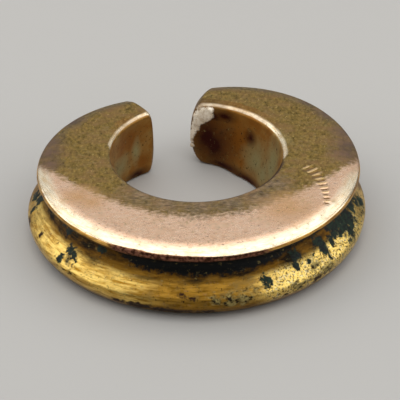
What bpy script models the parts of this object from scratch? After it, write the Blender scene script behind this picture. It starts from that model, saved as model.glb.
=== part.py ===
"""Cast nose ring: an open, C-shaped spool with a flat top and a hollowed wall.

The ring lies flat on its underside. Its bore stands upright, and the gap between
the two arms is on +Y. Seen from above, the left arm lies at -X and the right arm
at +X. One casting makes the whole ring: a thin flange above, a thicker rounded
rim (the foot) below, a groove between them, and arms that end in rounded domes.

The shape is a loft between unlike sections. Both rims are circles that stand off
the bore's axis, so each section has another width. A section is a function of
height: a radius of the bore wall and a radius of the outer wall at each level.
"""
import math
from collections import namedtuple

import bpy

MM = 0.001

# Height and bore, in millimetres
HEIGHT = 5.25
BORE_RADIUS = 6.26
BORE_RIM_ROUND = 0.34
BORE_FOOT_ROUND = 0.2

# The bore leans and narrows downwards: its lower mouth is smaller and off the axis
BORE_FOOT_NARROWER = 0.36
BORE_FOOT_SHIFT = (-0.89, 0.15)
LEAN_FROM_ANGLE = 15.0
LEAN_FULL_ANGLE = 50.0

# Widest circle of the ring, round the foot
FOOT_DIAMETER = 24.66

# Upper flange, how far it stands back inside the foot and where its circle sits
FLANGE_SETBACK = 0.57
FLANGE_SHIFT = (-0.28, -1.35)
FLANGE_EDGE = 0.32
CROWN_WIDTH = 1.3
CROWN_DROP = 0.2

# Foot, the thicker rim below, and its circle's place against the flange's
FOOT_SHIFT = (-0.19, -0.09)
FOOT_ROUND = 1.4

# Groove: its deepest line, the throat, lies under the flange. From there the wall
# flares straight out to the foot, and each bend of the flare takes a share of its height
GROOVE_DEPTH = 1.2
THROAT_DROP = 0.95
FLARE_BEND = 0.2

# Gap between the arms, measured across it at the bore wall on the top face
GAP_WIDTH = 4.08

# Each arm: how far its rims draw in and from which angle off the gap, how far its
# end bulges into the gap, how long and how square the end's outer corner is, and
# the radius of the corner between the bore wall and the end
Arm = namedtuple("Arm", "taper taper_from dome end_length end_power corner")
LEFT_ARM = Arm(taper=1.55, taper_from=95.0, dome=0.42, end_length=1.75, end_power=3.0, corner=0.25)
RIGHT_ARM = Arm(taper=1.37, taper_from=72.0, dome=0.9, end_length=1.78, end_power=2.0, corner=0.45)

# Fineness of the loft
STATIONS = 50
COLUMNS = 6
FOOT_STEPS = 5
FLARE_STEPS = 6
UNDERSIDE_STEPS = 3
EDGE_STEPS = 5
CROWN_STEPS = 3

# Finish of the metal, and the angle from which an edge is shaded as sharp
METAL_COLOUR = (0.48, 0.29, 0.11, 1.0)
METAL_ROUGHNESS = 0.35
SHARP_ANGLE = 40.0

# Derived sizes
BORE_FOOT_RADIUS = BORE_RADIUS - BORE_FOOT_NARROWER
FOOT_RADIUS = FOOT_DIAMETER / 2
FLANGE_RADIUS = FOOT_RADIUS - FLANGE_SETBACK
FRONT_WIDTH = FLANGE_RADIUS + math.hypot(*FLANGE_SHIFT) - BORE_RADIUS
FOOT_CENTRE = (FLANGE_SHIFT[0] + FOOT_SHIFT[0], FLANGE_SHIFT[1] + FOOT_SHIFT[1])
GAP_ANGLE = math.degrees(math.asin(GAP_WIDTH / 2 / BORE_RADIUS))
EDGE_LEVEL = HEIGHT - CROWN_DROP - FLANGE_EDGE
UNDERSIDE_LEVEL = EDGE_LEVEL - FLANGE_EDGE
THROAT_LEVEL = UNDERSIDE_LEVEL - THROAT_DROP

Section = namedtuple("Section", "bore_foot flange foot throat slender")


def blend(share):
    """Smooth step from 0 to 1."""
    share = min(1.0, max(0.0, share))
    return share * share * (3.0 - 2.0 * share)


def round_off(share):
    """Drop of a quarter circle of radius 1 at a share of its width."""
    share = min(1.0, max(0.0, share))
    return 1.0 - math.sqrt(1.0 - share * share)


def soft_ramp(share):
    """Straight ramp from 0 to 1 that bends in and out over a share of its length."""
    share = min(1.0, max(0.0, share))
    bent = 2.0 * FLARE_BEND * (1.0 - FLARE_BEND)
    if share < FLARE_BEND:
        return share ** 2 / bent
    if share > 1.0 - FLARE_BEND:
        return 1.0 - (1.0 - share) ** 2 / bent
    return (share - FLARE_BEND / 2) / (1.0 - FLARE_BEND)


def heading(turn):
    """Unit vector at an angle from the gap, going round by the left arm."""
    angle = math.radians(turn)
    return -math.sin(angle), math.cos(angle)


def reach(turn, centre, radius):
    """Distance from the bore's axis to a circle off the axis, at one turn."""
    x, y = heading(turn)
    along = x * centre[0] + y * centre[1]
    return along + math.sqrt(radius ** 2 - centre[0] ** 2 - centre[1] ** 2 + along ** 2)


def taper(turn):
    """How far both rims draw in towards the ends of the arms."""
    drawn = 0.0
    for arm, away in ((LEFT_ARM, turn), (RIGHT_ARM, 360.0 - turn)):
        share = max(0.0, (arm.taper_from - away) / (arm.taper_from - GAP_ANGLE))
        drawn += arm.taper * share ** 2
    return drawn


def section(turn):
    """The radii that shape the ring's section at one turn."""
    drawn = taper(turn)
    flange = reach(turn, FLANGE_SHIFT, FLANGE_RADIUS - drawn)
    foot = reach(turn, FOOT_CENTRE, FOOT_RADIUS - drawn)
    from_gap = min(turn, 360.0 - turn)
    lean = blend((from_gap - LEAN_FROM_ANGLE) / (LEAN_FULL_ANGLE - LEAN_FROM_ANGLE))
    lower_mouth = reach(turn, BORE_FOOT_SHIFT, BORE_FOOT_RADIUS)
    bore_foot = BORE_RADIUS + lean * (lower_mouth - BORE_RADIUS)
    width = min(flange, foot) - BORE_RADIUS
    slender = math.sqrt(width / FRONT_WIDTH)
    throat = min(flange, foot) - GROOVE_DEPTH * slender
    return Section(bore_foot, flange, foot, throat, slender)


def inner_radius(level, cut):
    """Radius of the bore wall, rounded at its upper rim and its lower one."""
    radius = cut.bore_foot + (BORE_RADIUS - cut.bore_foot) * level / HEIGHT
    rim = round_off(1.0 - (HEIGHT - level) / BORE_RIM_ROUND)
    low = round_off(1.0 - level / BORE_FOOT_ROUND)
    return radius + BORE_RIM_ROUND * rim + BORE_FOOT_ROUND * low


def outer_radius(level, cut):
    """Radius of the outer wall, from the foot through the groove to the crown."""
    edge_radius = cut.flange - FLANGE_EDGE
    if level <= FOOT_ROUND:
        return cut.foot - FOOT_ROUND * cut.slender * round_off(1.0 - level / FOOT_ROUND)
    if level <= THROAT_LEVEL:
        share = (level - FOOT_ROUND) / (THROAT_LEVEL - FOOT_ROUND)
        return cut.foot + (cut.throat - cut.foot) * soft_ramp(share)
    if level <= UNDERSIDE_LEVEL:
        share = (level - THROAT_LEVEL) / (UNDERSIDE_LEVEL - THROAT_LEVEL)
        return cut.throat + (edge_radius - cut.throat) * round_off(share)
    if level <= EDGE_LEVEL + FLANGE_EDGE:
        return cut.flange - FLANGE_EDGE * round_off(abs(level - EDGE_LEVEL) / FLANGE_EDGE)
    fallen = min(1.0, max(0.0, (HEIGHT - level) / CROWN_DROP))
    return edge_radius - CROWN_WIDTH * cut.slender * (1.0 - math.sqrt(fallen))


def quarter(steps):
    """Angles that part a quarter turn into equal steps, without the first one."""
    return [math.pi / 2 * step / steps for step in range(1, steps + 1)]


def level_list():
    """Heights of the loft's rows, close together where the wall turns."""
    levels = [0.0]
    levels += [FOOT_ROUND * (1.0 - math.cos(a)) for a in quarter(FOOT_STEPS)]
    flare = THROAT_LEVEL - FOOT_ROUND
    levels += [FOOT_ROUND + flare / 2 * (1.0 - math.cos(2 * a)) for a in quarter(FLARE_STEPS)]
    rise = UNDERSIDE_LEVEL - THROAT_LEVEL
    levels += [THROAT_LEVEL + rise * math.sin(a) for a in quarter(UNDERSIDE_STEPS)]
    levels += [EDGE_LEVEL - FLANGE_EDGE * math.cos(2 * a) for a in quarter(EDGE_STEPS)]
    for step in range(CROWN_STEPS - 1, -1, -1):
        levels.append(HEIGHT - CROWN_DROP * (step / CROWN_STEPS) ** 2)
    return levels


def end_turn(arm, share, level, tip_width):
    """Angle off the gap where an arm's metal starts, at a share of its width."""
    lift = 2.0 * level / HEIGHT - 1.0
    start = BORE_RADIUS * math.radians(GAP_ANGLE) - arm.dome
    start += arm.dome * round_off(abs(lift))
    start += arm.end_length * (1.0 - (1.0 - share ** arm.end_power) ** (1.0 / arm.end_power))
    start += arm.corner * round_off(1.0 - share * tip_width / arm.corner)
    return math.degrees(start / BORE_RADIUS)


def point(turn, level, share):
    """A point of the ring at one turn and level, a share of the way outwards."""
    cut = section(turn)
    inner = inner_radius(level, cut)
    radius = inner + (outer_radius(level, cut) - inner) * share
    x, y = heading(turn)
    return radius * x * MM, radius * y * MM, level * MM


def arm_start(arm, tip, level, share):
    """Where the loft line at a level and a share of the wall starts on an arm."""
    inner = inner_radius(level, tip)
    widest = max(tip.flange, tip.foot)
    wall = outer_radius(level, tip) - inner
    return end_turn(arm, min(1.0, share * wall / (widest - inner)), level, widest - BORE_RADIUS)


def loft_line(level, share):
    """One line of the loft, from the end of the left arm round to the right one."""
    first = arm_start(LEFT_ARM, section(GAP_ANGLE), level, share)
    last = 360.0 - arm_start(RIGHT_ARM, section(360.0 - GAP_ANGLE), level, share)
    turns = [first + (last - first) * step / STATIONS for step in range(STATIONS + 1)]
    return [point(turn, level, share) for turn in turns]


def ring_mesh(name):
    """Mesh of the ring: bore wall, outer wall, top, underside and the two ends."""
    levels = level_list()
    shares = [math.sin(math.pi / 2 * column / COLUMNS) for column in range(COLUMNS + 1)]
    rows = len(levels) - 1
    vertices = []
    index = {}
    for row, level in enumerate(levels):
        for column, share in enumerate(shares):
            outline = row in (0, rows) or column in (0, COLUMNS)
            line = loft_line(level, share)
            for station, place in enumerate(line):
                if outline or station in (0, STATIONS):
                    index[row, column, station] = len(vertices)
                    vertices.append(place)
    faces = []

    def patch(corners, flip):
        quad = [index[corner] for corner in corners]
        faces.append(quad[::-1] if flip else quad)

    for station in range(STATIONS):
        for row in range(rows):
            for column, flip in ((0, True), (COLUMNS, False)):
                patch([(row, column, station), (row, column, station + 1),
                       (row + 1, column, station + 1), (row + 1, column, station)], flip)
        for column in range(COLUMNS):
            for row, flip in ((0, False), (rows, True)):
                patch([(row, column, station), (row, column, station + 1),
                       (row, column + 1, station + 1), (row, column + 1, station)], flip)
    for row in range(rows):
        for column in range(COLUMNS):
            for station, flip in ((0, True), (STATIONS, False)):
                patch([(row, column, station), (row + 1, column, station),
                       (row + 1, column + 1, station), (row, column + 1, station)], flip)
    mesh = bpy.data.meshes.new(name)
    mesh.from_pydata(vertices, [], faces)
    return mesh


def rest_on_centre(mesh):
    """Put the middle of the ring's footprint box at the origin."""
    xs = [vertex.co.x for vertex in mesh.vertices]
    ys = [vertex.co.y for vertex in mesh.vertices]
    middle = ((min(xs) + max(xs)) / 2, (min(ys) + max(ys)) / 2)
    for vertex in mesh.vertices:
        vertex.co.x -= middle[0]
        vertex.co.y -= middle[1]


def gilt_tumbaga():
    """Gold-copper casting alloy whose surface was enriched in gold and worn."""
    material = bpy.data.materials.new("gilt_tumbaga")
    material.use_nodes = True
    shader = material.node_tree.nodes["Principled BSDF"]
    shader.inputs["Base Color"].default_value = METAL_COLOUR
    shader.inputs["Metallic"].default_value = 1.0
    shader.inputs["Roughness"].default_value = METAL_ROUGHNESS
    return material


def build():
    for leftover in list(bpy.data.objects):
        bpy.data.objects.remove(leftover, do_unlink=True)
    parts = bpy.data.collections.new("nose_ring")
    bpy.context.scene.collection.children.link(parts)
    mesh = ring_mesh("nose_ring")
    rest_on_centre(mesh)
    mesh.shade_smooth()
    mesh.set_sharp_from_angle(angle=math.radians(SHARP_ANGLE))
    mesh.materials.append(gilt_tumbaga())
    ring = bpy.data.objects.new("nose_ring", mesh)
    parts.objects.link(ring)


build()
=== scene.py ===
# %% [markdown]
# # A cast nose ring
# This lesson dresses one small ornament: an open, C-shaped nose ring, about 25 mm across.
# It was cast in one piece in a gold-copper alloy, so the scene has one metal piece and no joint.
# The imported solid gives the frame: its size, its place and its body. The looks are made here.

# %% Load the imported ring
import math
import bpy
import numpy as np
from mathutils import Matrix, Vector, noise


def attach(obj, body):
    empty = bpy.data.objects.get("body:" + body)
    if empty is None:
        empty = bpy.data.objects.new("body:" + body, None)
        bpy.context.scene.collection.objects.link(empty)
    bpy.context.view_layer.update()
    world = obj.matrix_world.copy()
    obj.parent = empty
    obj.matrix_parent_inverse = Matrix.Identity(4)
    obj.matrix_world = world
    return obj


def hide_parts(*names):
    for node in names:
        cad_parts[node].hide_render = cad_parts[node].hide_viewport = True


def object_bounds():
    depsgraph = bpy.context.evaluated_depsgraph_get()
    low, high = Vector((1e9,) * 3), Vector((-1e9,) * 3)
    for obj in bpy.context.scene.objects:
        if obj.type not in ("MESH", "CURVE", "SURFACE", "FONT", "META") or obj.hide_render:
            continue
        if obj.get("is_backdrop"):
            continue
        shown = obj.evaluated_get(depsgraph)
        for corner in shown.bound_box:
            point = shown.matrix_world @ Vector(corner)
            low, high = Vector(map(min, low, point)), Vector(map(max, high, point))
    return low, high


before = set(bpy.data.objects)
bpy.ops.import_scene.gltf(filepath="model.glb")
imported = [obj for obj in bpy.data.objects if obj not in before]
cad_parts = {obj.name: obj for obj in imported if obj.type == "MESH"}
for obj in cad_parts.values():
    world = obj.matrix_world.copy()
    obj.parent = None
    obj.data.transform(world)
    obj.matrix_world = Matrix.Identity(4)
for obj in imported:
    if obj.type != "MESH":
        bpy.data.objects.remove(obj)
cad_low, cad_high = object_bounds()
MM = 0.001

# %% [markdown]
# ## Sizes of the casting
# The solid is a loft: a section that changes as it goes round the bore's axis. A finer loft of the
# same sections gives a smooth skin. Subdividing the solid's triangles was the other way, but its
# long thin triangles leave ripples that a polished metal would show at once.

# %% Sizes in millimetres
HEIGHT = (cad_high.z - cad_low.z) / MM
FOOT_RADIUS = 12.33
FLANGE_RADIUS = FOOT_RADIUS - 0.57
FLANGE_CENTRE = (-0.28, -1.35)
FOOT_CENTRE = (-0.47, -1.44)
BORE_RADIUS = 6.26
BORE_RIM_ROUND = 0.34
BORE_FOOT_RADIUS = 5.9
BORE_FOOT_ROUND = 0.2
BORE_FOOT_CENTRE = (-0.89, 0.15)
LEAN_ANGLES = (15.0, 50.0)
FLANGE_EDGE = 0.32
CROWN_WIDTH = 1.3
CROWN_DROP = 0.2
FOOT_ROUND = 1.4
GROOVE_DEPTH = 1.2
THROAT_DROP = 0.95
FLARE_BEND = 0.2
GAP_WIDTH = 4.08
LEFT_ARM = dict(taper=1.55, taper_from=95.0, dome=0.42, end_length=1.75, end_power=3.0, corner=0.25)
RIGHT_ARM = dict(taper=1.37, taper_from=72.0, dome=0.9, end_length=1.78, end_power=2.0, corner=0.45)

FRONT_WIDTH = FLANGE_RADIUS + math.hypot(*FLANGE_CENTRE) - BORE_RADIUS
GAP_ANGLE = math.degrees(math.asin(GAP_WIDTH / 2 / BORE_RADIUS))
EDGE_LEVEL = HEIGHT - CROWN_DROP - FLANGE_EDGE
UNDERSIDE_LEVEL = EDGE_LEVEL - FLANGE_EDGE
THROAT_LEVEL = UNDERSIDE_LEVEL - THROAT_DROP
BORE_AXIS = Vector(((cad_low.x + cad_high.x) / 2 - FOOT_CENTRE[0] * MM,
                    cad_low.y + (FOOT_RADIUS - FOOT_CENTRE[1]) * MM, 0))
print("gap on each side, degrees:", round(GAP_ANGLE, 1), " bore axis:", [round(c / MM, 2) for c in BORE_AXIS])

# %% [markdown]
# ## The camera
# A long lens looks down on the ring from the front, a little to its left. The camera is pushed
# sideways and up by a fraction of a millimetre, which frames the ring without any lens shift.

# %% Camera
# The distance and the lens go together: a far camera draws the front and the back of the ring almost
# to one scale, as the photo does.
VIEW_AZIMUTH = math.radians(-15.0)
VIEW_ELEVATION = math.radians(34.23)
VIEW_ROLL = math.radians(-0.63)
VIEW_DISTANCE = 320 * MM
LENS = 392.0
AIM = (0.184 * MM, 0.813 * MM)

back = Vector((math.sin(VIEW_AZIMUTH) * math.cos(VIEW_ELEVATION),
               -math.cos(VIEW_AZIMUTH) * math.cos(VIEW_ELEVATION), math.sin(VIEW_ELEVATION)))
right = Vector((math.cos(VIEW_AZIMUTH), math.sin(VIEW_AZIMUTH), 0))
upward = back.cross(right)
away = Vector((-math.sin(VIEW_AZIMUTH), math.cos(VIEW_AZIMUTH), 0))


def seen(across, off, height):
    """A point given in millimetres as the camera sees it: to the right, away, and up from the bore's foot."""
    return BORE_AXIS + (right * across + away * off + Vector((0, 0, height))) * MM


camera = bpy.data.objects.new("camera", bpy.data.cameras.new("camera"))
bpy.context.scene.collection.objects.link(camera)
bpy.context.scene.camera = camera
camera.data.lens = LENS
camera.data.sensor_width = 36.0
camera.data.clip_start = 10 * MM
camera.data.clip_end = 10.0
axes = Matrix((right, upward, back)).transposed()
camera.rotation_euler = (axes @ Matrix.Rotation(VIEW_ROLL, 3, "Z")).to_euler()
camera.location = BORE_AXIS + back * VIEW_DISTANCE + right * AIM[0] + upward * AIM[1]
print("camera, mm:", [round(c / MM, 1) for c in camera.location])

# %% [markdown]
# ## The section of the ring
# Two radii describe the metal at each height: the bore wall's and the outer wall's. Both rims are
# circles that stand off the bore's axis, so each turn round the axis has its own section.

# %% Section functions
def ease(share):
    share = np.clip(share, 0.0, 1.0)
    return share * share * (3.0 - 2.0 * share)


def round_off(share):
    """Drop of a quarter circle of radius 1 at a share of its width."""
    share = np.clip(share, 0.0, 1.0)
    return 1.0 - np.sqrt(1.0 - share * share)


def soft_ramp(share):
    """Straight ramp from 0 to 1 that bends in and out over a share of its length."""
    share = np.clip(share, 0.0, 1.0)
    bent = 2.0 * FLARE_BEND * (1.0 - FLARE_BEND)
    ends = [share < FLARE_BEND, share > 1.0 - FLARE_BEND]
    return np.select(ends, [share ** 2 / bent, 1.0 - (1.0 - share) ** 2 / bent],
                     (share - FLARE_BEND / 2) / (1.0 - FLARE_BEND))


def reach(turn, centre, radius):
    """Distance from the bore's axis to a circle off the axis. Turns go from the gap by the left arm."""
    angle = np.radians(turn)
    along = -np.sin(angle) * centre[0] + np.cos(angle) * centre[1]
    return along + np.sqrt(radius ** 2 - centre[0] ** 2 - centre[1] ** 2 + along ** 2)


def section(turn):
    drawn = 0.0
    for arm, off_gap in ((LEFT_ARM, turn), (RIGHT_ARM, 360.0 - turn)):
        share = np.maximum(0.0, (arm["taper_from"] - off_gap) / (arm["taper_from"] - GAP_ANGLE))
        drawn = drawn + arm["taper"] * share ** 2
    flange = reach(turn, FLANGE_CENTRE, FLANGE_RADIUS - drawn)
    foot = reach(turn, FOOT_CENTRE, FOOT_RADIUS - drawn)
    lean = ease((np.minimum(turn, 360.0 - turn) - LEAN_ANGLES[0]) / (LEAN_ANGLES[1] - LEAN_ANGLES[0]))
    bore_foot = BORE_RADIUS + lean * (reach(turn, BORE_FOOT_CENTRE, BORE_FOOT_RADIUS) - BORE_RADIUS)
    slender = np.sqrt((np.minimum(flange, foot) - BORE_RADIUS) / FRONT_WIDTH)
    throat = np.minimum(flange, foot) - GROOVE_DEPTH * slender
    return dict(bore_foot=bore_foot, flange=flange, foot=foot, throat=throat, slender=slender)


def inner_radius(level, cut):
    radius = cut["bore_foot"] + (BORE_RADIUS - cut["bore_foot"]) * level / HEIGHT
    rim = round_off(1.0 - (HEIGHT - level) / BORE_RIM_ROUND)
    low = round_off(1.0 - level / BORE_FOOT_ROUND)
    return radius + BORE_RIM_ROUND * rim + BORE_FOOT_ROUND * low


def outer_radius(level, cut):
    edge = cut["flange"] - FLANGE_EDGE
    foot = cut["foot"] - FOOT_ROUND * cut["slender"] * round_off(1.0 - level / FOOT_ROUND)
    flare = cut["foot"] + (cut["throat"] - cut["foot"]) * soft_ramp(
        (level - FOOT_ROUND) / (THROAT_LEVEL - FOOT_ROUND))
    under = cut["throat"] + (edge - cut["throat"]) * round_off(
        (level - THROAT_LEVEL) / (UNDERSIDE_LEVEL - THROAT_LEVEL))
    rim = cut["flange"] - FLANGE_EDGE * round_off(np.abs(level - EDGE_LEVEL) / FLANGE_EDGE)
    fallen = np.clip((HEIGHT - level) / CROWN_DROP, 0.0, 1.0)
    crown = edge - CROWN_WIDTH * cut["slender"] * (1.0 - np.sqrt(fallen))
    bands = [level <= FOOT_ROUND, level <= THROAT_LEVEL, level <= UNDERSIDE_LEVEL,
             level <= EDGE_LEVEL + FLANGE_EDGE]
    return np.select(bands, [foot, flare, under, rim], crown)


def arm_start(arm, tip_turn, level, share):
    """Degrees off the gap at which an arm's metal starts, at a level and a share of the wall."""
    tip = section(np.full_like(level, tip_turn))
    inner = inner_radius(level, tip)
    width = np.maximum(tip["flange"], tip["foot"]) - inner
    out = np.minimum(1.0, share * (outer_radius(level, tip) - inner) / width)
    start = BORE_RADIUS * math.radians(GAP_ANGLE) - arm["dome"]
    start = start + arm["dome"] * round_off(np.abs(2.0 * level / HEIGHT - 1.0))
    start = start + arm["end_length"] * (1.0 - (1.0 - out ** arm["end_power"]) ** (1.0 / arm["end_power"]))
    tip_width = np.maximum(tip["flange"], tip["foot"]) - BORE_RADIUS
    start = start + arm["corner"] * round_off(1.0 - out * tip_width / arm["corner"])
    return np.degrees(start / BORE_RADIUS)


# %% [markdown]
# ## The fine skin
# Rows follow the height and columns cross the flat faces. Together they make a closed loop round the
# section, and the loop is repeated at many stations from one arm's end to the other's. A small grid
# closes each end. Rows crowd together where the wall turns, so the rims stay round close up.

# %% Grid of the skin
STATIONS = 440
COLUMNS = 44


def quarter(steps):
    return np.arange(1, steps + 1) * (math.pi / 2 / steps)


levels = np.concatenate([
    [0.0],
    FOOT_ROUND * (1.0 - np.cos(quarter(13))),
    FOOT_ROUND + (THROAT_LEVEL - FOOT_ROUND) / 2 * (1.0 - np.cos(2 * quarter(17))),
    THROAT_LEVEL + (UNDERSIDE_LEVEL - THROAT_LEVEL) * np.sin(quarter(6)),
    EDGE_LEVEL - FLANGE_EDGE * np.cos(2 * quarter(12)),
    HEIGHT - CROWN_DROP * (np.arange(8, -1, -1) / 9) ** 2,
])
shares = np.sin(np.linspace(0.0, math.pi / 2, COLUMNS + 1))
rows = len(levels) - 1
cells = [(row, 0) for row in range(rows)]
cells += [(rows, column) for column in range(COLUMNS)]
cells += [(row, COLUMNS) for row in range(rows, 0, -1)]
cells += [(0, column) for column in range(COLUMNS, 0, -1)]
cap_cells = [(row, column) for row in range(1, rows) for column in range(1, COLUMNS)]
print("rows:", rows, " loop points:", len(cells), " stations:", STATIONS)


def turns_of(cell_list, steps):
    """Level, share and turn of the loft lines of these cells, at these steps from 0 to 1."""
    level = np.array([levels[row] for row, column in cell_list])[:, None]
    share = np.array([shares[column] for row, column in cell_list])[:, None]
    first = arm_start(LEFT_ARM, GAP_ANGLE, level, share)
    last = 360.0 - arm_start(RIGHT_ARM, 360.0 - GAP_ANGLE, level, share)
    turn = first + (last - first) * steps[None, :]
    return np.broadcast_to(level, turn.shape), np.broadcast_to(share, turn.shape), turn


def place(level, share, turn):
    """Points in millimetres from the bore's axis."""
    cut = section(turn)
    inner = inner_radius(level, cut)
    radius = inner + (outer_radius(level, cut) - inner) * share
    angle = np.radians(turn)
    return np.stack([-np.sin(angle) * radius, np.cos(angle) * radius, level], -1)


loop_level, loop_share, loop_turn = turns_of(cells, np.linspace(0.0, 1.0, STATIONS + 1))
cap_level, cap_share, cap_turn = turns_of(cap_cells, np.array([0.0, 1.0]))
level_at = np.concatenate([loop_level.ravel(), cap_level.ravel()])
share_at = np.concatenate([loop_share.ravel(), cap_share.ravel()])
turn_at = np.concatenate([loop_turn.ravel(), cap_turn.ravel()])
points = place(level_at, share_at, turn_at)

# %% [markdown]
# ## Faces of the skin
# Each face joins four neighbouring points, so the skin is made of four-sided faces in even rows. It
# could also be skinned over curves, but then the loop and the end caps would not share their points,
# and a gap would show at the arms' ends.

# %% Faces of the skin
index = {}
for number, cell in enumerate(cells):
    for end, station in ((0, 0), (1, STATIONS)):
        index[cell, end] = number * (STATIONS + 1) + station
for number, cell in enumerate(cap_cells):
    for end in (0, 1):
        index[cell, end] = len(cells) * (STATIONS + 1) + number * 2 + end
start = np.arange(len(cells))[:, None] * (STATIONS + 1) + np.arange(STATIONS)[None, :]
after = np.roll(start, -1, axis=0)
faces = np.stack([start, after, after + 1, start + 1], -1).reshape(-1, 4).tolist()
for row in range(rows):
    for column in range(COLUMNS):
        corners = [(row, column), (row, column + 1), (row + 1, column + 1), (row + 1, column)]
        faces.append([index[cell, 0] for cell in corners])
        faces.append([index[cell, 1] for cell in reversed(corners)])
print("vertices:", len(points), " faces:", len(faces))


def skin_mesh(name, places):
    mesh = bpy.data.meshes.new(name)
    mesh.from_pydata(places.tolist(), [], faces)
    mesh.update()
    normals = np.zeros(len(places) * 3)
    mesh.vertices.foreach_get("normal", normals)
    return mesh, normals.reshape(-1, 3)


plain_mesh, normals = skin_mesh("plain_skin", points)
outward = np.mean(np.sum(normals[:, :2] * points[:, :2], -1)[(share_at == 1.0)])
print("outer wall faces out:", outward > 0)

# %% [markdown]
# ## Where things are
# Marks on the metal are placed by plain measures. On the walls these are the turn round the bore's
# axis, in degrees from the gap by the left arm, and the height. On the flat top they are the place
# as the camera sees it, to the right and away from it. All are in millimetres but the turn.

# %% Measures on the skin
across = points[:, 0] * right.x + points[:, 1] * right.y
off = points[:, 0] * away.x + points[:, 1] * away.y
radial = np.hypot(points[:, 0], points[:, 1])
facing_out = (normals[:, 0] * points[:, 0] + normals[:, 1] * points[:, 1]) / radial
on_top = ease((normals[:, 2] - 0.25) / 0.5) * ease((level_at - EDGE_LEVEL) / 0.2)
BORE_BAND = 0.9
on_bore = ease((-facing_out - 0.6) / 0.3) * (radial < BORE_RADIUS + BORE_BAND)
print("share of points on the top and bore:", [round(float(part.mean()), 2) for part in (on_top, on_bore)])


def cloud(size, seed, octaves=1):
    """Soft noise from about -1 to 1 with lumps of this size in millimetres."""
    shift = Vector((seed * 7.31, seed * 3.17, seed * 5.77))
    steps = points / size
    if octaves == 1:
        return np.array([noise.noise(Vector(step) + shift) for step in steps])
    return np.array([noise.fractal(Vector(step) + shift, 0.8, 2.0, octaves) for step in steps])


def field(spots):
    """How deep a point is inside the nearest spot: 1 in its middle, 0 on its rim, -1 at twice its size.

    A spot is a turn, a height and half its width and height in millimetres.
    """
    depth = np.full(len(points), -1.0)
    for turn, level, half_width, half_height in spots:
        along = np.radians((turn_at - turn + 180.0) % 360.0 - 180.0) * radial / half_width
        depth = np.maximum(depth, 1.0 - np.hypot(along, (level_at - level) / half_height))
    return depth


broad = cloud(6.0, 1)
lumpy = cloud(1.6, 2, 2)
fine = cloud(0.55, 3, 3)
print("noise ranges:", [round(float(np.abs(n).max()), 2) for n in (broad, lumpy, fine)])

# %% [markdown]
# ## Marks of age, and painted shade
# Gold-rich skin stays bright, but where it is thin the copper below turns green, brown or black.
# The groove under the flange is painted black and brown as shade, and the low brown spots along the
# foot's bottom edge in front are painted shade too. One arm's end still holds a lump of lime from the
# ground. Each mark is a short list of spots, drawn as fields that the material later breaks up with
# noise, so their edges come out ragged and never as plain ovals.

# %% Spots of corrosion on the outer wall; the low brown ones in front are painted shade
GREEN_SPOTS = [
    (117.6, 2.45, 0.4, 0.24), (119.6, 2.32, 0.3, 0.16), (121.6, 2.12, 0.22, 0.18), (115.6, 1.85, 0.3, 0.26),
    (119.0, 1.45, 0.14, 0.12), (112.0, 3.12, 0.35, 0.24), (108.0, 3.2, 0.2, 0.16), (129.0, 3.32, 0.4, 0.3),
    (186.6, 2.25, 0.32, 0.34), (188.0, 2.05, 0.14, 0.14), (199.4, 2.85, 0.5, 0.3), (198.4, 2.4, 0.26, 0.3),
    (203.6, 2.3, 0.24, 0.14), (206.6, 2.5, 0.18, 0.12), (211.0, 2.85, 0.5, 0.42), (211.6, 2.4, 0.34, 0.36),
    (212.2, 1.95, 0.12, 0.22), (216.0, 2.55, 0.34, 0.34), (220.5, 2.95, 0.7, 0.5), (225.5, 2.75, 1.05, 0.78),
    (231.0, 2.7, 1.05, 0.74), (237.0, 2.75, 0.7, 0.4), (227.0, 2.1, 0.34, 0.3), (246.0, 2.05, 0.5, 0.3),
    (242.0, 2.4, 0.5, 0.25), (73.0, 2.5, 0.8, 0.3), (79.0, 2.1, 0.6, 0.24), (84.5, 2.45, 0.6, 0.26),
    (87.0, 1.95, 0.3, 0.2), (60.0, 2.0, 1.4, 0.4), (51.0, 2.9, 0.5, 0.3), (40.0, 1.3, 0.3, 0.24),
    (256.0, 2.6, 0.5, 0.3), (264.0, 2.2, 0.6, 0.5), (281.0, 2.9, 1.1, 0.3), (291.0, 1.7, 0.4, 0.3),
    (298.0, 2.4, 1.6, 0.5), (318.0, 3.0, 0.6, 0.3),
]
GREY_SPOTS = [
    (170.5, 1.62, 0.4, 0.3), (174.6, 1.4, 0.6, 0.5), (178.4, 1.5, 0.6, 0.46), (182.6, 1.9, 0.24, 0.24),
    (205.0, 2.1, 0.55, 0.26), (243.0, 1.9, 0.8, 0.4), (226.0, 1.75, 0.5, 0.3), (118.6, 2.12, 0.3, 0.22),
    (209.0, 1.5, 0.9, 0.3), (197.0, 1.3, 0.5, 0.3),
]
# The five low spots at turns 140 to 167 are painted shade along the foot's bottom edge; the rest are brown
# marks.
BROWN_AND_SHADE_SPOTS = [
    (140.0, 0.78, 0.7, 0.16), (147.0, 0.74, 1.2, 0.34), (154.0, 0.66, 0.9, 0.3), (160.0, 0.6, 1.0, 0.22),
    (167.0, 0.56, 1.0, 0.2), (160.0, 1.9, 0.28, 0.1), (163.2, 1.74, 0.28, 0.09), (205.0, 1.12, 0.44, 0.3),
    (208.0, 1.25, 0.2, 0.2), (122.0, 1.5, 0.2, 0.26), (90.0, 1.4, 0.5, 0.3), (101.0, 1.9, 0.24, 0.2),
    (192.5, 0.95, 0.16, 0.16), (112.0, 0.6, 0.9, 0.25),
]
outside = radial > BORE_RADIUS + BORE_BAND
green, grey, brown = [np.where(outside, field(spots), -1.0)
                      for spots in (GREEN_SPOTS, GREY_SPOTS, BROWN_AND_SHADE_SPOTS)]
print("green, grey and brown spots:", len(GREEN_SPOTS), len(GREY_SPOTS), len(BROWN_AND_SHADE_SPOTS))
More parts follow.
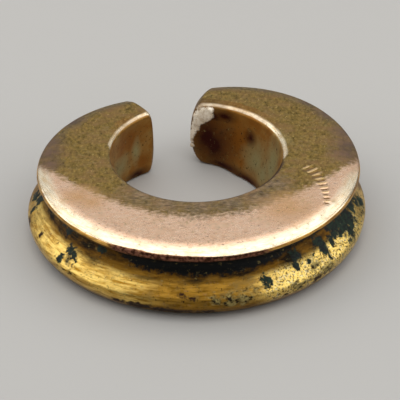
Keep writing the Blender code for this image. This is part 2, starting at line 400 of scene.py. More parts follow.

# %% [markdown]
# ## Zones of the outer wall
# The foot is the part that was handled, so its gold is clean over long stretches, and there it is
# painted brighter where the side lights shine, as a painted highlight. On the right it is full of pits,
# and low down it turns a dull mauve. Painting each zone by hand would tie it to one size of ring, so a
# zone is a range of turns and heights that fades at its ends.

# %% Zones round the outer wall
def between(first, last, soft):
    """1 from one turn to the other, fading out over some degrees on both sides."""
    return ease((turn_at - first) / soft + 0.5) * ease((last - turn_at) / soft + 0.5)


def rise(value, low, high):
    """-1 up to low and 1 from high on."""
    return 2.0 * ease((value - low) / (high - low)) - 1.0


# Clean zones: clean gold, and painted highlight where the side lights shine.
clean_and_lit_turns = np.maximum(between(80, 148, 26), between(183, 254, 16))
clean_and_lit = np.minimum(rise(level_at, 0.2, 1.2), -rise(level_at, 2.2, 3.1))
clean_and_lit = np.where(outside, clean_and_lit * clean_and_lit_turns - (1.0 - clean_and_lit_turns), -1.0)
speckled = np.where(outside, between(186, 238, 12) * 2.0 - 1.0, -1.0)
mauve_foot = np.maximum(between(78, 142, 12), between(188, 262, 12)) * (1.0 - ease((level_at - 0.35) / 0.7))
mauve_foot = np.where(outside, mauve_foot * 2.0 - 1.0, -1.0)
print("clean gold, share of the wall:", round(float((clean_and_lit[outside] > 0).mean()), 2))

# %% [markdown]
# ## The groove
# Under the flange the groove is painted black in front as shade, and beside it the scoop is painted
# brown as shade. The black's foot wanders a little up and down, so it is a wave and not a level line.

# %% The groove: painted black shade in front, painted brown shade in the scoop beside it
# Painted shade: black in the groove in front, and always some right under the flange.
black_turns = between(138, 210, 14)
black_foot = 3.02 - 0.14 * np.cos(np.radians(turn_at - 168) * 4.0) + 0.3 * ease((turn_at - 186.0) / 16.0)
in_groove = outside & (level_at < UNDERSIDE_LEVEL + 0.25)
under_flange = outside & (level_at > THROAT_LEVEL) & (level_at < UNDERSIDE_LEVEL + 0.1)
groove_shade = np.clip((level_at - black_foot) / 0.35, -1, 1) * black_turns - (1.0 - black_turns)
groove_shade = np.where(under_flange, np.maximum(groove_shade, 0.4), groove_shade)
groove_shade = np.where(in_groove, groove_shade, -1.0)
# Painted shade: the scoop is darkened brown towards the flange.
scoop_shade = np.where(in_groove, np.clip((level_at - 2.62) / 0.45, -1, 1), -1.0)
print("black points in the groove:", int((groove_shade > 0).sum()))

# %% [markdown]
# ## Stains and lime
# The bore wall is stained in large soft clouds. The lime on the right arm's end is a row of lumps that
# run down the edge: balls placed in space, so the crust turns the corner from the bore to the end.

# %% Stains on the bore wall, by turn and height; the right arm's turns are past 270
DARK_STAINS = [
    (338.0, 2.5, 1.3, 2.5), (333.0, 1.8, 1.3, 1.9), (334.0, 4.3, 0.9, 0.5), (326.0, 4.5, 0.8, 0.4),
    (303.0, 3.5, 0.44, 0.44), (325.0, 0.35, 1.7, 0.4),
    (300.0, 0.25, 1.7, 0.3), (30.0, 0.3, 0.9, 0.35),
]
AMBER_STAINS = [
    (315.0, 2.8, 2.2, 2.3), (274.5, 4.45, 0.7, 0.25), (36.0, 3.6, 1.4, 1.3), (25.0, 1.3, 0.8, 0.9),
    (298.0, 1.2, 0.8, 0.9),
]
PALE_STAINS = [
    (294.0, 2.1, 0.9, 1.1), (282.0, 1.6, 0.8, 1.0), (46.0, 1.8, 0.8, 0.7), (270.0, 3.0, 1.2, 1.4),
    (31.0, 2.4, 0.3, 0.8),
]
stains = [np.where(outside, -1.0, field(spots)) for spots in (DARK_STAINS, AMBER_STAINS, PALE_STAINS)]
dark_stain, amber_stain, pale_stain = stains
print("stains:", len(DARK_STAINS), len(AMBER_STAINS), len(PALE_STAINS))

# %% The lump of lime on the right arm's end: turn, height, distance from the axis, radius
LIME_LUMPS = [
    (335.8, 4.8, 6.2, 0.28), (336.2, 4.38, 6.2, 0.32), (338.6, 4.66, 6.2, 0.42), (338.8, 4.22, 6.2, 0.4),
    (341.4, 4.5, 6.3, 0.46), (341.6, 4.05, 6.3, 0.38), (343.8, 4.1, 6.4, 0.42), (344.8, 3.6, 6.45, 0.36),
    (345.8, 3.2, 6.5, 0.34), (346.8, 2.8, 6.5, 0.3), (347.5, 2.4, 6.5, 0.24), (347.9, 2.0, 6.5, 0.22),
    (347.9, 1.6, 6.5, 0.22),
]
lime = np.full(len(points), -1.0)
for turn, level, out, size in LIME_LUMPS:
    angle = math.radians(turn)
    spot = np.array([-math.sin(angle) * out, math.cos(angle) * out, level])
    lime = np.maximum(lime, 1.0 - np.linalg.norm(points - spot, axis=1) / size)
print("lime covers points:", int((lime > 0).sum()))

# %% [markdown]
# ## The pink front, partly painted reflection, and the gouges
# The front of the flat top is pink up to a line that bends with the ring: rubbed through to the pink metal,
# and lighter as painted reflection of the overhead light.
# On the right a row of short strokes was cut with a graver. The row is a bent path, and a point knows
# how far along it lies and how far aside, so the strokes can follow the bend.

# %% The pink front of the top, rubbed and lighter as painted reflection, and a row of gouges on its right
RUBBED_SHEEN_LINE = (-8.25, 0.053)
RUBBED_SHEEN_SOFT = 1.15
GOUGE_PATH = [(8.1, -2.4), (8.6, -3.1), (8.85, -3.8), (9.05, -4.6), (9.2, -5.4), (9.25, -6.2), (9.25, -6.8)]
GOUGE_HALF_LENGTHS = (0.42, 0.17)
GOUGE_STEP = 0.58
# The pink front: rubbed metal, and painted reflection.
rubbed_and_sheen = (RUBBED_SHEEN_LINE[0] + RUBBED_SHEEN_LINE[1] * across ** 2 - off) / RUBBED_SHEEN_SOFT
rubbed_and_sheen = np.where(on_top > 0.5, rubbed_and_sheen, -1.0)
aside = np.full(len(points), 9.0)
along_path = np.zeros(len(points))
walked = 0.0
for (x0, y0), (x1, y1) in zip(GOUGE_PATH, GOUGE_PATH[1:]):
    length = math.hypot(x1 - x0, y1 - y0)
    forward = ((across - x0) * (x1 - x0) + (off - y0) * (y1 - y0)) / length
    sideways = ((across - x0) * (y1 - y0) - (off - y0) * (x1 - x0)) / length
    apart = np.hypot(sideways, np.maximum(0.0, np.maximum(-forward, forward - length)))
    along_path = np.where(apart < np.abs(aside), walked + forward, along_path)
    aside = np.where(apart < np.abs(aside), apart, aside)
    walked += length
done = np.clip(along_path / walked, 0.0, 1.0)
half_length = GOUGE_HALF_LENGTHS[0] * (1.0 - done) + GOUGE_HALF_LENGTHS[1] * done
gouge = np.where(on_top > 0.5, 1.0 - aside / half_length, -1.0)
lip_height = 0.5 - 0.5 * np.cos(2 * math.pi * along_path / GOUGE_STEP)
print("rubbed share of the top:", round(float((rubbed_and_sheen[on_top > 0.5] > 0).mean()), 2),
      " row of gouges, mm:", round(walked, 2))

# %% [markdown]
# ## Rims and tints
# Fingers keep the rims bright, and a cream highlight is painted on them: the outer one in front, and
# the bore's at both arms. In front the upright face of the flange is painted brown as shade, with real
# chips, and the bore's front rim has a dark line of painted shade. The top has a few tints besides: a
# smoky band by the bore that is painted shade with streaks, mauve at both sides and amber where the pink
# begins.

# %% Burnished rims with a painted highlight, and the rim's face in front painted brown as shade
flange_at = section(turn_at)["flange"]
# Where the cream painted highlight lies: the outer rim in front, the bore's rim at both arms.
outer_turns = between(80, 246, 24)
outer_rim = (radial - flange_at + 0.22 + 0.66 * outer_turns) / 0.42 * outer_turns - 3 * (1 - outer_turns)
outer_rim = np.where(outside & (level_at > EDGE_LEVEL - 0.3), outer_rim, -1.0)
bore_turns = np.maximum(ease((70 - turn_at) / 12 + 0.5), ease((turn_at - 246) / 12 + 0.5))
bore_rim = 1.0 - np.abs(radial - BORE_RADIUS - 0.12) / 0.17 - 3 * (1 - bore_turns)
bore_rim = np.where(level_at > HEIGHT - 0.45, bore_rim, -1.0)
# Painted shade: a dark line on the front of the bore's rim.
bore_rim_shade = 1.0 - np.abs(radial - BORE_RADIUS - 0.1) / 0.14 - 3 * (1 - between(204, 245, 10))
bore_rim_shade = np.where(level_at > HEIGHT - 0.45, bore_rim_shade, -1.0)
burnished_and_highlight = np.clip(np.maximum(outer_rim, bore_rim), -1, 1)
face_top = EDGE_LEVEL + 0.2 + 0.08 * between(136, 168, 12) + 0.03 * np.clip(lumpy, -1, 1)
below_top = np.clip((face_top - level_at) / 0.06, -1, 1)
on_edge = outside & (radial > flange_at - 0.33) & (level_at > UNDERSIDE_LEVEL - 0.02)
rim_face = np.where(on_edge, below_top, -1.0)
# Painted shade on the rim's upright face in front, with real chips.
rim_shade_and_chips = np.minimum(rim_face, between(137, 187, 16) * 2.4 - 1.0)
print("burnished points:", int((burnished_and_highlight > 0).sum()), " on the rim's face:", int((rim_face > 0).sum()))

# %% Tints of the top: right, away and radius of each blot
# Smoky blots: painted shade by the bore's front edge, where the pink front ends, with streaks.
SMOKY_SHADE = [(-3.9, -5.3, 1.3), (-2.2, -6.4, 1.2), (0.0, -6.9, 1.3), (2.2, -6.5, 1.3), (4.2, -5.6, 1.3),
         (5.6, -4.3, 1.0)]
MAUVE = [(-11.0, 1.6, 1.0), (-10.9, 0.2, 0.9), (-10.7, -1.4, 0.7), (11.0, 2.6, 0.8), (11.0, 1.0, 0.9),
         (10.8, -0.4, 0.9), (-9.2, 4.6, 0.7), (9.8, 5.2, 0.7), (8.4, 7.0, 0.6)]
AMBER_TOP = [(-8.4, -5.6, 0.9), (-7.6, -6.4, 0.7), (6.6, -7.4, 1.4), (3.4, -4.6, 0.6)]


def blot(spots):
    """Depth inside round spots on the top."""
    depth = np.full(len(points), -1.0)
    for x, y, size in spots:
        depth = np.maximum(depth, 1.0 - np.hypot(across - x, off - y) / size)
    return np.where(on_top > 0.5, depth, -1.0)


smoky_shade, mauve, amber_top = blot(SMOKY_SHADE), blot(MAUVE), blot(AMBER_TOP)
print("smoky, mauve and amber points:", [int((tint > 0).sum()) for tint in (smoky_shade, mauve, amber_top)])

# %% [markdown]
# ## Relief
# A hand-finished casting is never true: its walls swell and sink by a few hundredths of a millimetre,
# its rim has small nicks, corrosion stands up as scabs, the gouges are cut in, and the lime is thicker
# still. A bump in the material would be quicker, but it is flat from the side. Here the points move
# along their normals, so the marks are real shape and show in the outline as well.

# %% Heights of the relief, in millimetres
# A nick is its turn, width and depth.
RIM_NICKS = [(146.0, 0.5, 0.05), (149.5, 0.3, 0.07), (153.0, 0.25, 0.06), (158.0, 0.35, 0.03),
             (172.0, 0.22, 0.05), (181.0, 0.3, 0.04), (206.0, 0.3, 0.03), (126.0, 0.3, 0.03),
             (98.0, 0.25, 0.03)]
NICK_REACH = 0.3
SCAB_HEIGHT = 0.05
GREY_HEIGHT = 0.02
LIME_HEIGHT = 0.13
LIME_LUMPS_HEIGHT = 0.11
SWELL_HEIGHT = 0.028
RIPPLE_HEIGHT = 0.012
SAND_HEIGHT = 0.006
BROWN_DEPTH = 0.03
STAIN_DEPTH = 0.02
GOUGE_DEPTH = 0.04
off_top = 1.0 - on_top
nicks = np.zeros(len(points))
for turn, width, depth in RIM_NICKS:
    along = np.radians(turn_at - turn) * radial / width
    nicks += depth * np.exp(-along ** 2) * np.exp(-((level_at - EDGE_LEVEL) / NICK_REACH) ** 2) * outside
scabs = ease(green * 2.0 + 0.4 + 0.5 * fine) * SCAB_HEIGHT + ease(grey * 2.0 + 0.5 * fine) * GREY_HEIGHT
crust = ease(lime * 3.0 + 0.5 * fine) * (LIME_HEIGHT + LIME_LUMPS_HEIGHT * np.clip(lumpy, -1, 1)) * off_top
swell = SWELL_HEIGHT * broad * (1.0 - 0.7 * on_top) + RIPPLE_HEIGHT * lumpy * off_top
hollows = ease(brown * 2.0 + 0.5 * fine) * BROWN_DEPTH + ease(dark_stain * 1.5 + 0.5 * fine) * STAIN_DEPTH
cuts = GOUGE_DEPTH * ease(gouge * 2.0 + 0.5) * (1.0 - lip_height)
relief = swell + SAND_HEIGHT * fine * off_top + scabs + crust - nicks - hollows - cuts
print("relief, mm:", round(float(relief.min()), 3), "to", round(float(relief.max()), 3))

# %% [markdown]
# ## Into the frame
# The relief makes the skin up to a tenth of a millimetre larger than the solid. The skin is scaled
# back by less than 1 percent, so it stays inside the solid's box and its sizes stay true.

# %% Place the skin in the frame
points = points + normals * relief[:, None]
ring_mesh, normals = skin_mesh("nose_ring_surface", points)
ring = bpy.data.objects.new("nose_ring_surface", ring_mesh)
bpy.context.scene.collection.objects.link(ring)
low, high = points.min(0), points.max(0)
room = np.array(cad_high - cad_low) / MM
scale = np.minimum(1.0, room / (high - low))
centre = np.array([(cad_low.x + cad_high.x) / 2, (cad_low.y + cad_high.y) / 2, cad_low.z]) / MM
middle = np.array([(low[0] + high[0]) / 2, (low[1] + high[1]) / 2, low[2]])
placed = ((points - middle) * scale + centre) * MM
ring_mesh.vertices.foreach_set("co", placed.ravel())
ring_mesh.update()
ring_mesh.shade_smooth()
bpy.data.meshes.remove(plain_mesh)
print("skin, mm:", np.round(high - low, 3), " scaled by:", np.round(scale, 4))

# %% [markdown]
# ## Fields for the material
# The material reads the marks as attributes of the points. Three more hold places in millimetres: one
# runs round the ring and across its section, for streaks and pits on the walls, one lies flat as the
# camera sees it, for the brushing of the top, and one follows the row of gouges.

# %% Keep the fields
def keep(name, values):
    """Store a field that runs from -1 to 1 as an attribute from 0 to 1."""
    layer = ring_mesh.attributes.new(name, "FLOAT", "POINT")
    layer.data.foreach_set("value", np.clip(0.5 + 0.5 * values, 0.0, 1.0).astype(np.float32))


def keep_place(name, *axes_mm):
    """Store a place in millimetres as an attribute with three axes."""
    layer = ring_mesh.attributes.new(name, "FLOAT_VECTOR", "POINT")
    layer.data.foreach_set("vector", np.stack(axes_mm, -1).astype(np.float32).ravel())


FIELDS = dict(top=on_top * 2 - 1, bore=on_bore * 2 - 1, rubbed_and_sheen=rubbed_and_sheen, clean_and_lit_gold=clean_and_lit, speckled=speckled,
              mauve_foot=mauve_foot, groove_shade=groove_shade, scoop_shade=scoop_shade, green=green,
              grey=grey, brown=brown, dark_stain=dark_stain, amber_stain=amber_stain,
              pale_stain=pale_stain, lime=lime, gouge=gouge, burnished_and_highlight=burnished_and_highlight, rim_face=rim_face,
              rim_shade_and_chips=rim_shade_and_chips, bore_rim_shade=bore_rim_shade, smoky_shade=smoky_shade, mauve=mauve, amber_top=amber_top,
              pitted=1.0 - 2.0 * (level_at > UNDERSIDE_LEVEL))
for name, values in FIELDS.items():
    keep(name, values)
WALL_RADIUS = 11.0
keep_place("plan_mm", across, off, level_at)
keep_place("wall_mm", np.radians(turn_at) * WALL_RADIUS, level_at, radial)
keep_place("gouge_mm", along_path, aside, level_at)
print("attributes:", len(ring_mesh.attributes))

# %% [markdown]
# ## Colours and nodes
# Colours are written as they look on screen, in hex, and one function turns them to the linear
# values that shaders use. One more function adds a node with its settings and links.

# %% Helpers
def linear(hex_colour):
    """sRGB hex to the linear RGBA that shader sockets take."""
    channels = [int(hex_colour[i:i + 2], 16) / 255 for i in (1, 3, 5)]
    return tuple(c / 12.92 if c <= 0.04045 else ((c + 0.055) / 1.055) ** 2.4 for c in channels) + (1.0,)


def add(kind, settings=(), inputs=()):
    """Add a node. An input is another node's output, a hex colour or a plain value."""
    node = tree.nodes.new(kind)
    for key, value in dict(settings).items():
        setattr(node, key, value)
    for key, value in dict(inputs).items():
        if isinstance(value, bpy.types.NodeSocket):
            tree.links.new(value, node.inputs[key])
        else:
            node.inputs[key].default_value = linear(value) if isinstance(value, str) else value
    return node


print("middle grey, linear:", round(linear("#808080")[0], 3))

# %% [markdown]
# ## The metal: tumbaga with a gold-rich skin
# Tumbaga is a casting alloy of gold and copper. Pickling the casting eats copper out of its surface
# and leaves a skin rich in gold, which is then burnished. The skin is a metal through and through,
# so it has no colour but that of its reflections: metallic 1, default IOR, roughness 0.24 to 0.32
# where it is burnished and about 0.4 where it is worn. The copper shows pink where the skin has
# rubbed away, and some colours below are painted light and shade.

# %% The material and the places that its patterns follow
gilt_tumbaga = bpy.data.materials.new("gilt_tumbaga")
gilt_tumbaga.use_nodes = True
tree = gilt_tumbaga.node_tree
shader = tree.nodes["Principled BSDF"]
# Only the crusts show this: they are dry and earthy, so they reflect less than a smooth solid does.
shader.inputs["Specular IOR Level"].default_value = 0.2
plan_mm = add("ShaderNodeAttribute", {"attribute_name": "plan_mm"}).outputs["Vector"]
wall_mm = add("ShaderNodeAttribute", {"attribute_name": "wall_mm"}).outputs["Vector"]
gouge_mm = add("ShaderNodeAttribute", {"attribute_name": "gouge_mm"}).outputs["Vector"]
place_m = add("ShaderNodeTexCoord").outputs["Object"]
place_mm = add("ShaderNodeVectorMath", {"operation": "SCALE"}, {0: place_m, "Scale": 1 / MM}).outputs[0]
print("nodes for places:", len(tree.nodes))

# %% [markdown]
# ## Four recipes
# The finish is built as a restorer would retouch it, coat over coat. Grain makes a pattern of a real
# size, two tones colour it, a mark says where it lies, and a coat lays it over what is there already.
# One long chain of nodes would look the same, but could not be read or changed coat by coat.

# %% Recipes for patterns and layers
COLOUR_MIX = {"data_type": "RGBA"}


def grain(source, lump, detail=3.0, pulled=(1.0, 1.0, 1.0), roughness=0.6):
    """Noise with lumps of a size in millimetres, drawn out along an axis by a share below 1."""
    drawn = add("ShaderNodeVectorMath", {"operation": "MULTIPLY"}, {0: source, 1: pulled}).outputs[0]
    return add("ShaderNodeTexNoise", {}, {"Vector": drawn, "Scale": 1 / lump, "Detail": detail,
                                          "Roughness": roughness}).outputs["Fac"]


def two_tone(pattern, low, high, dark, light):
    """Colour a pattern: dark up to low, light from high on."""
    share = add("ShaderNodeMapRange", {}, {"Value": pattern, "From Min": low, "From Max": high}).outputs[0]
    return add("ShaderNodeMix", COLOUR_MIX, {0: share, 6: dark, 7: light}).outputs[2]


def mark(name, sharp, ragged, torn_by):
    """A kept field, broken up by noise and then sharpened to an edge."""
    kept = add("ShaderNodeAttribute", {"attribute_name": name}).outputs["Fac"]
    torn = add("ShaderNodeMath", {"operation": "MULTIPLY_ADD"}, {0: torn_by, 1: ragged, 2: kept}).outputs[0]
    return add("ShaderNodeMath", {"operation": "MULTIPLY_ADD", "use_clamp": True},
               {0: torn, 1: sharp, 2: 0.5 - sharp * (0.5 + ragged / 2)}).outputs[0]


def coat(amount, colour, metallic, roughness):
    """Lay a layer over the finish so far."""
    below = finish["colour"], finish["metallic"], finish["roughness"]
    finish["colour"] = add("ShaderNodeMix", COLOUR_MIX, {0: amount, 6: below[0], 7: colour}).outputs[2]
    finish["metallic"] = add("ShaderNodeMix", {}, {0: amount, 2: below[1], 3: metallic}).outputs[0]
    finish["roughness"] = add("ShaderNodeMix", {}, {0: amount, 2: below[2], 3: roughness}).outputs[0]


print("recipes:", [recipe.__name__ for recipe in (grain, two_tone, mark, coat)])

# %% [markdown]
# ## Patterns of the walls
# A burnisher is drawn round the ring again and again and leaves streaks along it. Real streaks are
# some hundredths of a millimetre wide. They would not show at this distance, so they are drawn
# 0.22 mm wide. Pits and specks of sand are drawn at 0.16 to 0.2 mm, a little over their real size.

# %% Patterns of the walls
LONG_STREAK = (0.2, 1.0, 1.0)
SHORT_STREAK = (0.35, 1.0, 1.0)
streaks = grain(wall_mm, 0.22, 4.0, LONG_STREAK)
drifts = grain(wall_mm, 0.9, 4.0, SHORT_STREAK, 0.65)
blotches = grain(place_mm, 1.1, 4.0)
torn_edge = grain(place_mm, 0.38, 4.0, roughness=0.65)
specks = grain(place_mm, 0.16, 3.0, roughness=0.7)
blotted = grain(wall_mm, 0.34, 3.0, (0.8, 1.0, 1.0), 0.7)
glints = grain(place_mm, 0.2, 3.0, roughness=0.7)
print("nodes so far:", len(tree.nodes))

# %% [markdown]
# ## Gilded walls
# The handled foot is bright gold in streaks, partly painted highlight where the side lights shine, and
# its right side has painted glints between pits. The rest is a browner gold, where the skin is thin and
# has tarnished, and part of its darkness is painted shade. Mixing three golds by the kept zones gives
# that change round the ring, which one even gold would not.

# %% Gilded walls
# Darker gold: tarnish, and painted shade.
worn_and_shaded_gold = two_tone(streaks, 0.34, 0.62, "#6b4b12", "#a67c2e")
worn_and_shaded_gold = two_tone(blotches, 0.48, 0.78, worn_and_shaded_gold, "#7a602a")
# Brighter gold for the clean zones: clean metal, and painted highlight.
streaky_gold = two_tone(streaks, 0.34, 0.58, "#a2741e", "#eecb70")
streaky_gold = two_tone(drifts, 0.52, 0.68, streaky_gold, "#c79b45")
pitted_gold_and_glints = two_tone(specks, 0.4, 0.5, "#46320e", "#ecca6e")
# Cream specks: painted glints between the pits.
pitted_gold_and_glints = two_tone(glints, 0.54, 0.66, pitted_gold_and_glints, "#fff0bc")
clean_and_lit_gold = add("ShaderNodeMix", COLOUR_MIX,
                 {0: mark("speckled", 1.4, 1.2, drifts), 6: streaky_gold, 7: pitted_gold_and_glints}).outputs[2]
finish = {"colour": worn_and_shaded_gold, "metallic": 1.0, "roughness": 0.42}
coat(mark("clean_and_lit_gold", 1.7, 1.6, drifts), clean_and_lit_gold, 1.0, 0.32)
coat(mark("mauve_foot", 1.2, 1.2, torn_edge), "#a58a72", 0.9, 0.45)
print("nodes so far:", len(tree.nodes))

# %% [markdown]
# ## The flat top
# It was rubbed flat on a stone, which leaves scratches in short runs. They are drawn 0.2 mm wide, again
# wider than real ones. Behind, the skin is olive and matt, with fine flecks. In front it is rubbed
# through to the coppery metal below, smooth and pink, and lighter as painted reflection of the overhead
# light, so colour and gloss change along the same line.

# %% The flat top
brushed = grain(plan_mm, 0.2, 4.0, (0.5, 1.0, 1.0), 0.68)
patchy = grain(plan_mm, 0.8, 4.0, (0.6, 1.0, 1.0))
mottled = grain(place_mm, 0.3, 3.0, roughness=0.65)
flecks = grain(plan_mm, 0.25, 3.0, (1.0, 0.7, 1.0), 0.75)
felted = grain(plan_mm, 0.24, 4.0, (1.0, 0.6, 1.0), 0.66)
olive = two_tone(felted, 0.34, 0.66, "#54441a", "#9c8040")
olive = two_tone(mottled, 0.5, 0.7, olive, "#978044")
olive = two_tone(patchy, 0.5, 0.72, olive, "#6b5226")
olive = two_tone(flecks, 0.58, 0.74, olive, "#c4aa66")
# Pink of the front, lightened as painted reflection.
rosy = two_tone(brushed, 0.35, 0.65, "#ebc09f", "#f4d3b6")
face = add("ShaderNodeMix", COLOUR_MIX,
           {0: mark("rubbed_and_sheen", 3.0, 1.0, brushed), 6: olive, 7: rosy}).outputs[2]
# Streaked painted shade for the smoky band.
streaked_shade = two_tone(brushed, 0.36, 0.64, "#4a3e30", "#9a8568")
TINTS = (("smoky_shade", 1.3, 1.6, mottled, streaked_shade), ("mauve", 1.1, 1.2, mottled, "#6c564a"),
         ("amber_top", 0.9, 0.8, patchy, "#dcac7a"))
for name, sharp, ragged, torn_by, tint in TINTS:
    face = add("ShaderNodeMix", COLOUR_MIX,
               {0: mark(name, sharp, ragged, torn_by), 6: face, 7: tint}).outputs[2]
OLIVE_ROUGHNESS, PINK_ROUGHNESS = 0.36, 0.27
rubbed_sheen_mask = mark("rubbed_and_sheen", 3.0, 0.8, brushed)
polish = add("ShaderNodeMix", {}, {0: rubbed_sheen_mask, 2: OLIVE_ROUGHNESS, 3: PINK_ROUGHNESS}).outputs[0]
coat(mark("top", 2.0, 0.1, streaks), face, 1.0, polish)
print("nodes so far:", len(tree.nodes))

# %% [markdown]
# ## Rims, bore and pits
# Wear rounds the rims and keeps them bright, and they are painted cream as a highlight, so they carry
# the sharpest light on the ring. The whole bore wall is painted a darker brown as shade, and skin kept
# it damp and salty, so it is stained in clouds of amber, grey and dark red. The walls are dotted with
# pits, where gas or sand lay in the mould. A pit is a dark dot with little gloss.

# %% Burnished rims, painted cream as a highlight
# Cream painted highlight on the rims, over real burnish.
creamy = two_tone(streaks, 0.3, 0.55, "#f2d3a6", "#fff0d2")
coat(mark("burnished_and_highlight", 1.5, 0.4, streaks), creamy, 1.0, 0.24)
tarnished = two_tone(streaks, 0.4, 0.62, "#9a6c30", "#dcab5a")
coat(mark("rim_face", 3.0, 0.5, streaks), tarnished, 1.0, 0.32)
print("nodes so far:", len(tree.nodes))

# %% Bore wall
BORE_SHADE_AND_STAINS = (
    # The first coat darkens the whole bore wall brown: painted shade inside the bore. The others are stains.
    ("bore", 2.0, 0.1, two_tone(blotches, 0.38, 0.65, "#986628", "#ba9450"), 0.7, 0.45),
    ("amber_stain", 1.0, 0.8, "#8a5414", 0.7, 0.45),
    ("pale_stain", 1.1, 0.9, "#9f9566", 0.7, 0.45),
    ("dark_stain", 1.3, 0.5, "#360c03", 0.6, 0.45),
)
for name, sharp, ragged, stain, metallic, roughness in BORE_SHADE_AND_STAINS:
    coat(mark(name, sharp, ragged, blotches), stain, metallic, roughness)
print("nodes so far:", len(tree.nodes))

# %% Pits
dots = add("ShaderNodeMapRange", {}, {"Value": glints, "From Min": 0.6, "From Max": 0.7}).outputs[0]
pits = add("ShaderNodeMath", {"operation": "MULTIPLY"},
           {0: dots, 1: mark("pitted", 2.0, 0.1, specks)}).outputs[0]
coat(pits, "#2c200e", 0.8, 0.5)
print("nodes so far:", len(tree.nodes))

# %% [markdown]
# ## Painted shade, corrosion, lime and scars
# The groove and some rims are painted dark as shade. Copper salts and lime are no metals, so they are
# dull, and the green ones are almost black. They lie over the metal in this order: the groove's painted
# shade first, the lime last.

# %% Painted shade, corrosion and lime
dark_green = two_tone(mottled, 0.4, 0.62, "#020803", "#182e1c")
mottled_grey = two_tone(mottled, 0.4, 0.58, "#241a09", "#9a8850")
chalk = two_tone(mottled, 0.35, 0.6, "#d6c4a8", "#faf0de")
MARKS = (
    # Painted shade: the scoop's brown and the groove's black.
    ("scoop_shade", 1.8, 1.4, drifts, two_tone(drifts, 0.42, 0.6, "#6c490f", "#1f1507"), 0.7, 0.5),
    ("groove_shade", 4.0, 1.4, torn_edge, "#020301", 0.0, 0.6),
    # Painted shade on the rim's face in front, with real chips.
    ("rim_shade_and_chips", 3.0, 0.9, torn_edge, two_tone(mottled, 0.42, 0.6, "#3c2114", "#8a5c48"), 0.9, 0.42),
    # Painted shade: a dark line on the bore's front rim.
    ("bore_rim_shade", 2.0, 0.8, torn_edge, "#54402f", 0.9, 0.42),
    # Brown spots: the low ones in front are painted shade.
    ("brown", 3.0, 1.8, torn_edge, "#301a0a", 0.5, 0.5),
    ("grey", 1.8, 2.6, blotted, mottled_grey, 0.5, 0.5),
    ("green", 6.0, 1.6, torn_edge, dark_green, 0.0, 0.5),
    ("lime", 6.0, 0.8, torn_edge, chalk, 0.0, 0.9),
)
for name, sharp, ragged, torn_by, over, metallic, roughness in MARKS:
    coat(mark(name, sharp, ragged, torn_by), over, metallic, roughness)
print("nodes so far:", len(tree.nodes))

# %% [markdown]
# ## Gouges and surface
# Short strokes of a graver cross the row at right angles. The relief has their cuts already, and here
# each gets a painted highlight on its lip and painted shade at its foot, at the same step. What is
# finer than the mesh, such as single scratches and pits of one or two hundredths of a millimetre, is
# left to bump.

# %% Gouges
# The wave texture repeats after this length at scale 1.
WAVE_PERIOD = math.pi / 10
gouged = mark("gouge", 3.0, 1.8, torn_edge)
strokes = add("ShaderNodeTexWave", {"bands_direction": "X"},
              {"Vector": gouge_mm, "Scale": WAVE_PERIOD / GOUGE_STEP, "Distortion": 0.9, "Detail": 1.0,
               "Detail Scale": 2.0}).outputs["Fac"]
lit_lip = add("ShaderNodeMapRange", {}, {"Value": strokes, "From Min": 0.6, "From Max": 0.9}).outputs[0]
foot = add("ShaderNodeMapRange", {}, {"Value": strokes, "From Min": 0.35, "From Max": 0.1}).outputs[0]
lit_lip = add("ShaderNodeMath", {"operation": "MULTIPLY"}, {0: lit_lip, 1: gouged}).outputs[0]
foot = add("ShaderNodeMath", {"operation": "MULTIPLY"}, {0: foot, 1: gouged}).outputs[0]
# Painted shade at each stroke's foot and a painted highlight on its lip.
coat(foot, "#85643f", 1.0, 0.35)
coat(lit_lip, "#dcb988", 1.0, 0.28)
print("nodes so far:", len(tree.nodes))

# %% Surface
SCRATCH_DEPTH = 0.012 * MM
PIT_DEPTH = 0.02 * MM
LIP_DEPTH = 0.02 * MM
# A height that is the same all over makes no bump.
EVEN = 0.5
flat_share = mark("top", 2.0, 0.1, streaks)
felting = add("ShaderNodeMix", {}, {0: rubbed_sheen_mask, 2: felted, 3: EVEN}).outputs[0]
brushing = add("ShaderNodeMix", {}, {0: flat_share, 2: streaks, 3: felting}).outputs[0]
surface = add("ShaderNodeBump", {}, {"Height": brushing, "Strength": 0.7,
                                     "Distance": SCRATCH_DEPTH}).outputs[0]
smooth = add("ShaderNodeMath", {"operation": "MAXIMUM"},
             {0: flat_share, 1: mark("burnished_and_highlight", 3.0, 0.2, streaks)}).outputs[0]
pitting = add("ShaderNodeMix", {}, {0: smooth, 2: glints, 3: EVEN}).outputs[0]
surface = add("ShaderNodeBump", {}, {"Height": pitting, "Normal": surface, "Strength": 0.7,
                                     "Distance": PIT_DEPTH}).outputs[0]
surface = add("ShaderNodeBump", {}, {"Height": lit_lip, "Normal": surface, "Strength": 0.5,
                                     "Distance": LIP_DEPTH}).outputs[0]
tree.links.new(finish["colour"], shader.inputs["Base Color"])
tree.links.new(finish["metallic"], shader.inputs["Metallic"])
tree.links.new(finish["roughness"], shader.inputs["Roughness"])
tree.links.new(surface, shader.inputs["Normal"])
ring_mesh.materials.append(gilt_tumbaga)
print("nodes in the metal:", len(tree.nodes))

# %% [markdown]
# ## Light and floor
# The ring lies on plain pale paper. Metal shows what stands round it, so the lights are large cards:
# one overhead that lays the bright line along the rim, one far behind for the flat top, one on each
# side for the gold of the foot, and a dim one in front. Small lamps would only leave dots on the gold.

# %% Lights
scene = bpy.context.scene
scene.view_settings.view_transform = "Standard"
world = bpy.data.worlds.new("studio")
scene.world = world
world.use_nodes = True
background = world.node_tree.nodes["Background"]
background.inputs["Color"].default_value = (1, 1, 1, 1)
background.inputs["Strength"].default_value = 0.1


RING_MIDDLE = seen(0, 0, 3)


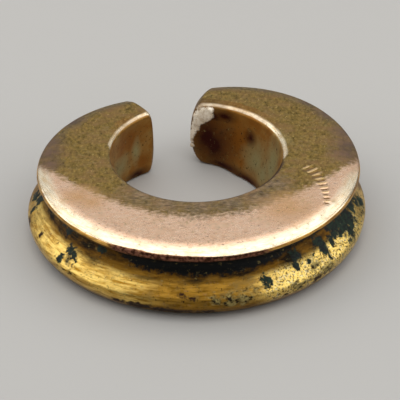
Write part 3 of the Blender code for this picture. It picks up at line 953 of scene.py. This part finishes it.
def softbox(name, place, width, height, brightness):
    """A card of light that faces the ring; brightness is what its face shows in a mirror."""
    data = bpy.data.lights.new(name, "AREA")
    data.shape = "RECTANGLE"
    data.size, data.size_y = width * MM, height * MM
    data.energy = brightness * math.pi * data.size * data.size_y
    lamp = bpy.data.objects.new(name, data)
    lamp.location = seen(*place)
    lamp.rotation_euler = (seen(*place) - RING_MIDDLE).to_track_quat("Z", "Y").to_euler()
    lamp.visible_camera = False
    scene.collection.objects.link(lamp)
    print(name, "watts:", round(data.energy, 4))


softbox("overhead", (0, 10, 150), 220, 270, 1.5)
softbox("far_card", (0, 230, 100), 500, 140, 0.55)
softbox("left_side", (-152, 5, 82), 220, 130, 1.4)
softbox("right_side", (150, -25, 82), 230, 130, 1.45)
softbox("front_fill", (0, -230, 120), 300, 160, 0.3)

# %% Floor
# Half of its side, in metres: far past the ring, so its edge is never in view.
FLOOR_HALF = 2.0
floor_mesh = bpy.data.meshes.new("floor")
corners = [(-FLOOR_HALF, -FLOOR_HALF, 0), (FLOOR_HALF, -FLOOR_HALF, 0),
           (FLOOR_HALF, FLOOR_HALF, 0), (-FLOOR_HALF, FLOOR_HALF, 0)]
floor_mesh.from_pydata(corners, [], [(0, 1, 2, 3)])
floor = bpy.data.objects.new("floor", floor_mesh)
scene.collection.objects.link(floor)
floor.location.z = cad_low.z
# Uncoated paper has no gloss: it takes the ring's soft shadow and mirrors nothing.
paper = bpy.data.materials.new("pale_paper")
paper.use_nodes = True
paper_shader = paper.node_tree.nodes["Principled BSDF"]
paper_shader.inputs["Base Color"].default_value = linear("#b6b4b0")
paper_shader.inputs["Roughness"].default_value = 0.9
floor_mesh.materials.append(paper)
floor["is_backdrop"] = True
print("floor at height, mm:", round(floor.location.z / MM, 3))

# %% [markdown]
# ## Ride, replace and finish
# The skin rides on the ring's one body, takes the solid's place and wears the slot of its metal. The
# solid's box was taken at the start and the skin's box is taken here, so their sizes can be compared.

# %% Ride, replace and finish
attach(ring, "root")
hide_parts("nose_ring")
low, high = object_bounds()
